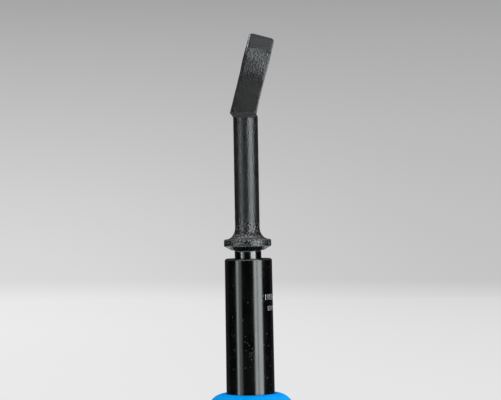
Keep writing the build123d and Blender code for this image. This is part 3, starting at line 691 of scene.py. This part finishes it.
def rounded_section(left, right, half, power):
    """Points of a superellipse that reaches left and right, and half to the front and the back."""
    points = []
    for i in range(AROUND):
        a = math.tau * i / AROUND
        c, s = math.cos(a), math.sin(a)
        x = math.copysign(abs(c) ** (2 / power), c) * (right if c > 0 else left)
        y = math.copysign(abs(s) ** (2 / power), s) * half
        points.append((x, y))
    return points


def corner_cut(along, radius):
    """What a rounded corner of the tip takes off the half width."""
    over = max(0.0, along - (HEAD_LENGTH - radius))
    return radius - math.sqrt(max(radius**2 - over**2, 0.0))


def head_station(along):
    """The head's section at a distance from the crease: widest at the foot, thinned to a ground tip."""
    foot = FOOT_FLARE * (1 - ease(along / 5))
    waist = WAIST * math.sin(math.pi * min(1.0, along / WAIST_LENGTH)) ** 1.5
    left = HEAD_LEFT + foot - corner_cut(along, LEFT_CORNER)
    right = HEAD_RIGHT - waist + foot - corner_cut(along, RIGHT_CORNER)
    if along <= FACET_START:
        half = between(FOOT_HALF, FACET_HALF, along / FACET_START)
    else:
        half = between(FACET_HALF, TIP_HALF, (along - FACET_START) / (HEAD_LENGTH - FACET_START))
    half -= 0.25 * (max(0.0, along - (HEAD_LENGTH - TIP_ROUND)) / TIP_ROUND) ** 2
    power = between(8.0, 24.0, ease(along / 3))
    tilt = between(math.radians(LEDGE_TILT), HEAD_LEAN, ease(along / 10))
    ground = ease((along - GROUND_START) / GROUND_FADE)
    twist = between(TWIST_FOOT, TWIST_TOP, ease((along - 16) / 11)) - TWIST_TOP * ground
    return Station(along, left, right, half, power, tilt, math.radians(twist), ground)


def turned_ring(r, z):
    """Points and wear of the round part at a height, uneven as forged and most of all on the collar's rim."""
    points, worn = [], []
    on_rim = RIM_TOP - 3.6 < z < RIM_TOP + 0.6 and r > 9.6
    on_edge = on_rim and (abs(z - RIM_TOP) < 0.5 or z < RIM_TOP - 2.9)
    for i in range(AROUND):
        a = math.tau * i / AROUND
        spot = Vector((r * math.cos(a), r * math.sin(a), z))
        soft = noise.noise(spot * 0.35) * FORGED_WAVE
        rough = noise.noise(spot * 2.4) * (RIM_ROUGHNESS if on_rim else FORGED_ROUGHNESS)
        radius = r if z < UNDERSIDE_Z - 0.2 else r - 0.02 + soft + rough
        points.append(Vector((radius * math.cos(a) + play(z), radius * math.sin(a), z)) * MM)
        worn.append(0.35 * max(0.0, noise.noise(spot * 1.7) + 0.1) if on_edge else 0.0)
    return points, worn


def ledge_ring(f, first):
    """Points at a share of the ledges' height, between the round shaft and the head's foot."""
    shape = rounded_section(
        between(SHAFT_R, first.left, f**1.2),
        between(SHAFT_R, first.right, f),
        between(SHAFT_R, first.half, f),
        between(2.0, first.power, f**2),
    )
    tilt = math.radians(LEDGE_TILT) * f
    shift = HEAD_SHIFT * f**1.3
    z = CREASE - LEDGE_H + LEDGE_H * f
    return [turned(Vector((shift + x * math.cos(tilt), y, z - x * math.sin(tilt)))) for x, y in shape]


def head_ring(st):
    """Points and wear of the head at a station: slightly crowned, uneven, and chipped on its left edge."""
    points, worn = [], []
    centre = Vector((HEAD_SHIFT + st.along * math.sin(HEAD_LEAN), 0, CREASE + st.along * math.cos(HEAD_LEAN)))
    for x, y in rounded_section(st.left, st.right, st.half, st.power):
        crown = CROWN * (1 - min(1.0, (x / 5.7) ** 2)) * (1 - st.ground) * ease(st.along / 6)
        y += math.copysign(crown, y)
        spot = Vector((x, y, st.along))
        y += noise.noise(spot * 0.3) * 0.12 * (1 - st.ground)
        x += noise.noise(spot * 0.25 + Vector((7, 0, 0))) * 0.1
        c, s = math.cos(st.twist), math.sin(st.twist)
        x, y = x * c - y * s, x * s + y * c
        points.append(turned(centre + Vector((x * math.cos(st.tilt), y, -x * math.sin(st.tilt)))))
        near_edge = ease(1 - abs(x + st.left) / 0.4) * ease(1.15 - abs(y + st.half) / 0.7)
        worn.append(near_edge * ease((st.along - 26.5) / 3))
    return points, worn


def rivet_set():
    rings, ground, wear = [], [], []

    def add_ring(points, is_ground, worn):
        rings.append(points)
        ground.append([is_ground] * AROUND)
        wear.append(worn)

    for r, z in set_profile():
        points, worn = turned_ring(r, z)
        add_ring(points, 0.0, worn)
    stations = [head_station(HEAD_LENGTH * i / HEAD_STEPS) for i in range(HEAD_STEPS + 1)]
    for i in range(1, LEDGE_STEPS + 1):
        add_ring(ledge_ring(i / LEDGE_STEPS, stations[0]), 0.0, [0.0] * AROUND)
    for station in stations[1:]:
        points, worn = head_ring(station)
        add_ring(points, station.ground, worn)
    obj = lofted("rivet_set_forged", rings, {"ground": ground, "wear": wear})
    finish_piece(obj, "rivet_set", "rivet_set", "forged_black")


# ---------------------------------------------------------------- front sleeve, in millimetres
SLEEVE_BORE_R, SLEEVE_LIP_R = 15.45, 11.56
SLEEVE_STEP_Z = 112.03  # where the bore narrows to the lip
SHOULDER_R = 8.4
HEM_R = 1.5
RING_PITCH, RING_DEPTH = 6.5, 0.9
ROW = 0.4  # height of a mesh row
PARTING_H, PARTING_W = 0.1, 0.5  # of the mould's parting line on the left and the right
OUTSIDE_R = 17  # only the sleeve's outside lies beyond this


def sleeve_profile(bottom, top, outer):
    """Radius and height, from the inner step over the shoulder and down the outside to the bore."""
    profile = [(SLEEVE_LIP_R, SLEEVE_STEP_Z), (SLEEVE_LIP_R, top - 0.6), (SLEEVE_LIP_R + 0.15, top - 0.15)]
    profile += [(SLEEVE_LIP_R + 0.5, top - 0.02), (outer - SHOULDER_R, top)]
    profile += arc((outer - SHOULDER_R, top - SHOULDER_R), (SHOULDER_R, SHOULDER_R), 90, 0, 24)
    z = top - SHOULDER_R
    while z > bottom + HEM_R + 0.1:
        ringed = ease((z - bottom - 4) / 3) * ease((top - 13 - z) / 2)
        ring = max(0.0, math.cos(math.tau * (z - bottom) / RING_PITCH)) ** 3
        profile.append((outer - RING_DEPTH * ring * ringed, z))
        z -= ROW
    profile += [(outer, bottom + HEM_R)]
    profile += arc((outer - HEM_R, bottom + HEM_R), (HEM_R, HEM_R), 0, -90, 6)
    return profile + [(SLEEVE_BORE_R, bottom), (SLEEVE_BORE_R, SLEEVE_STEP_Z)]


def front_sleeve():
    """The moulded sleeve: a smooth round shoulder, then rings for the fingers and a faint parting line."""
    low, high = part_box("front_sleeve")
    top = high.z / MM
    profile = sleeve_profile(low.z / MM, top, high.x / MM - 0.1)
    obj = revolved("front_sleeve_rubber", [(r * MM, z * MM) for r, z in reversed(profile)], 192, closed=True)
    for vertex in obj.data.vertices:
        spot = vertex.co
        r = math.hypot(spot.x, spot.y)
        if r > OUTSIDE_R * MM:
            below_shoulder = spot.z < (top - SHOULDER_R) * MM
            ridge = PARTING_H * MM * math.exp(-((spot.y / (PARTING_W * MM)) ** 2)) * below_shoulder
            soft = 0.04 * MM * (noise.noise(spot * 60) - 1)
            spot.x *= (r + ridge + soft) / r
            spot.y *= (r + ridge + soft) / r
    finish_piece(obj, "front_sleeve", "gun", "blue_rubber")


# ---------------------------------------------------------------- handle, in millimetres
# Places on the handle are (t, s): t along its centre line towards the inlet, s across it, up on the
# trigger's side.
RAKE = math.radians(11)
ROOT_Y, ROOT_Z = -14.0, 40.0  # where t and s are 0
COVER_START, COVER_END, COVER_FADE = 30, 80, 3  # where the rubber's ribs and hollows lie, in t
RIB_PITCH, RIB_DEPTH = 3.6, 0.55
HOLLOW_PITCH, HOLLOW_DEPTH, HOLLOW_START = 20, 1.1, 39
COVER_VOXEL, TRIGGER_VOXEL, CASTING_VOXEL = 0.55, 0.32, 0.85  # fine enough to keep each piece's details


def to_handle(y, z):
    """(t, s) of a place in the frame's Y and Z."""
    y, z = y - ROOT_Y, z - ROOT_Z
    return -math.cos(RAKE) * y - math.sin(RAKE) * z, -math.sin(RAKE) * y + math.cos(RAKE) * z


def cover_depth(t, s):
    """How deep the rubber's surface lies at a place: ribs on the sides and back, finger hollows in front."""
    ends = ease((t - COVER_START) / COVER_FADE) * ease((COVER_END - t) / COVER_FADE)
    rib = RIB_DEPTH * (0.5 - 0.5 * math.cos(math.tau * t / RIB_PITCH)) ** 0.6 * (1 - ease((s - 3) / 4))
    wave = 0.5 - 0.5 * math.cos(math.tau * (t - HOLLOW_START) / HOLLOW_PITCH)
    hollow = HOLLOW_DEPTH * wave * ease((s - 6) / 6) * ease((t - HOLLOW_START + 1) / 3)
    return (rib + hollow) * ends


def grip_cover():
    """The rubber round the handle, pressed in along its own normals on the outside."""
    obj = softened("grip_cover", "grip_cover_rubber", COVER_VOXEL * MM, 5)
    mesh = obj.data
    moves = []
    for vertex in mesh.vertices:
        x, y, z = (v / MM for v in vertex.co)
        t, s = to_handle(y, z)
        away = Vector((x, -math.sin(RAKE) * s, math.cos(RAKE) * s)).normalized()
        outside = vertex.normal.dot(away) >= 0.3
        moves.append(vertex.normal * (-cover_depth(t, s) * MM) if outside else Vector())
    for vertex, move in zip(mesh.vertices, moves):
        vertex.co += move
    mesh.update()
    finish_piece(obj, "grip_cover", "gun", "blue_rubber")


def throttle_spring():
    """A welded copy of the spring's CAD mesh, with a mesh of its own."""
    obj = cad_copy("throttle_spring", "throttle_spring_coil")
    finish_piece(obj, "throttle_spring", "gun", "spring_steel")
    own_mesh(obj)


def trigger():
    obj = softened("trigger", "trigger_forged", TRIGGER_VOXEL * MM, 6)
    finish_piece(obj, "trigger", "trigger", "satin_steel")


def handle_casting():
    obj = softened("handle_casting", "handle_cast", CASTING_VOXEL * MM, 5)
    finish_piece(obj, "handle_casting", "gun", "handle_paint")


make_camera()
make_stage()
dress_cad_nodes()
rivet_set()
front_sleeve()
grip_cover()
throttle_spring()
trigger()
handle_casting()
scene.view_settings.view_transform = "Standard"
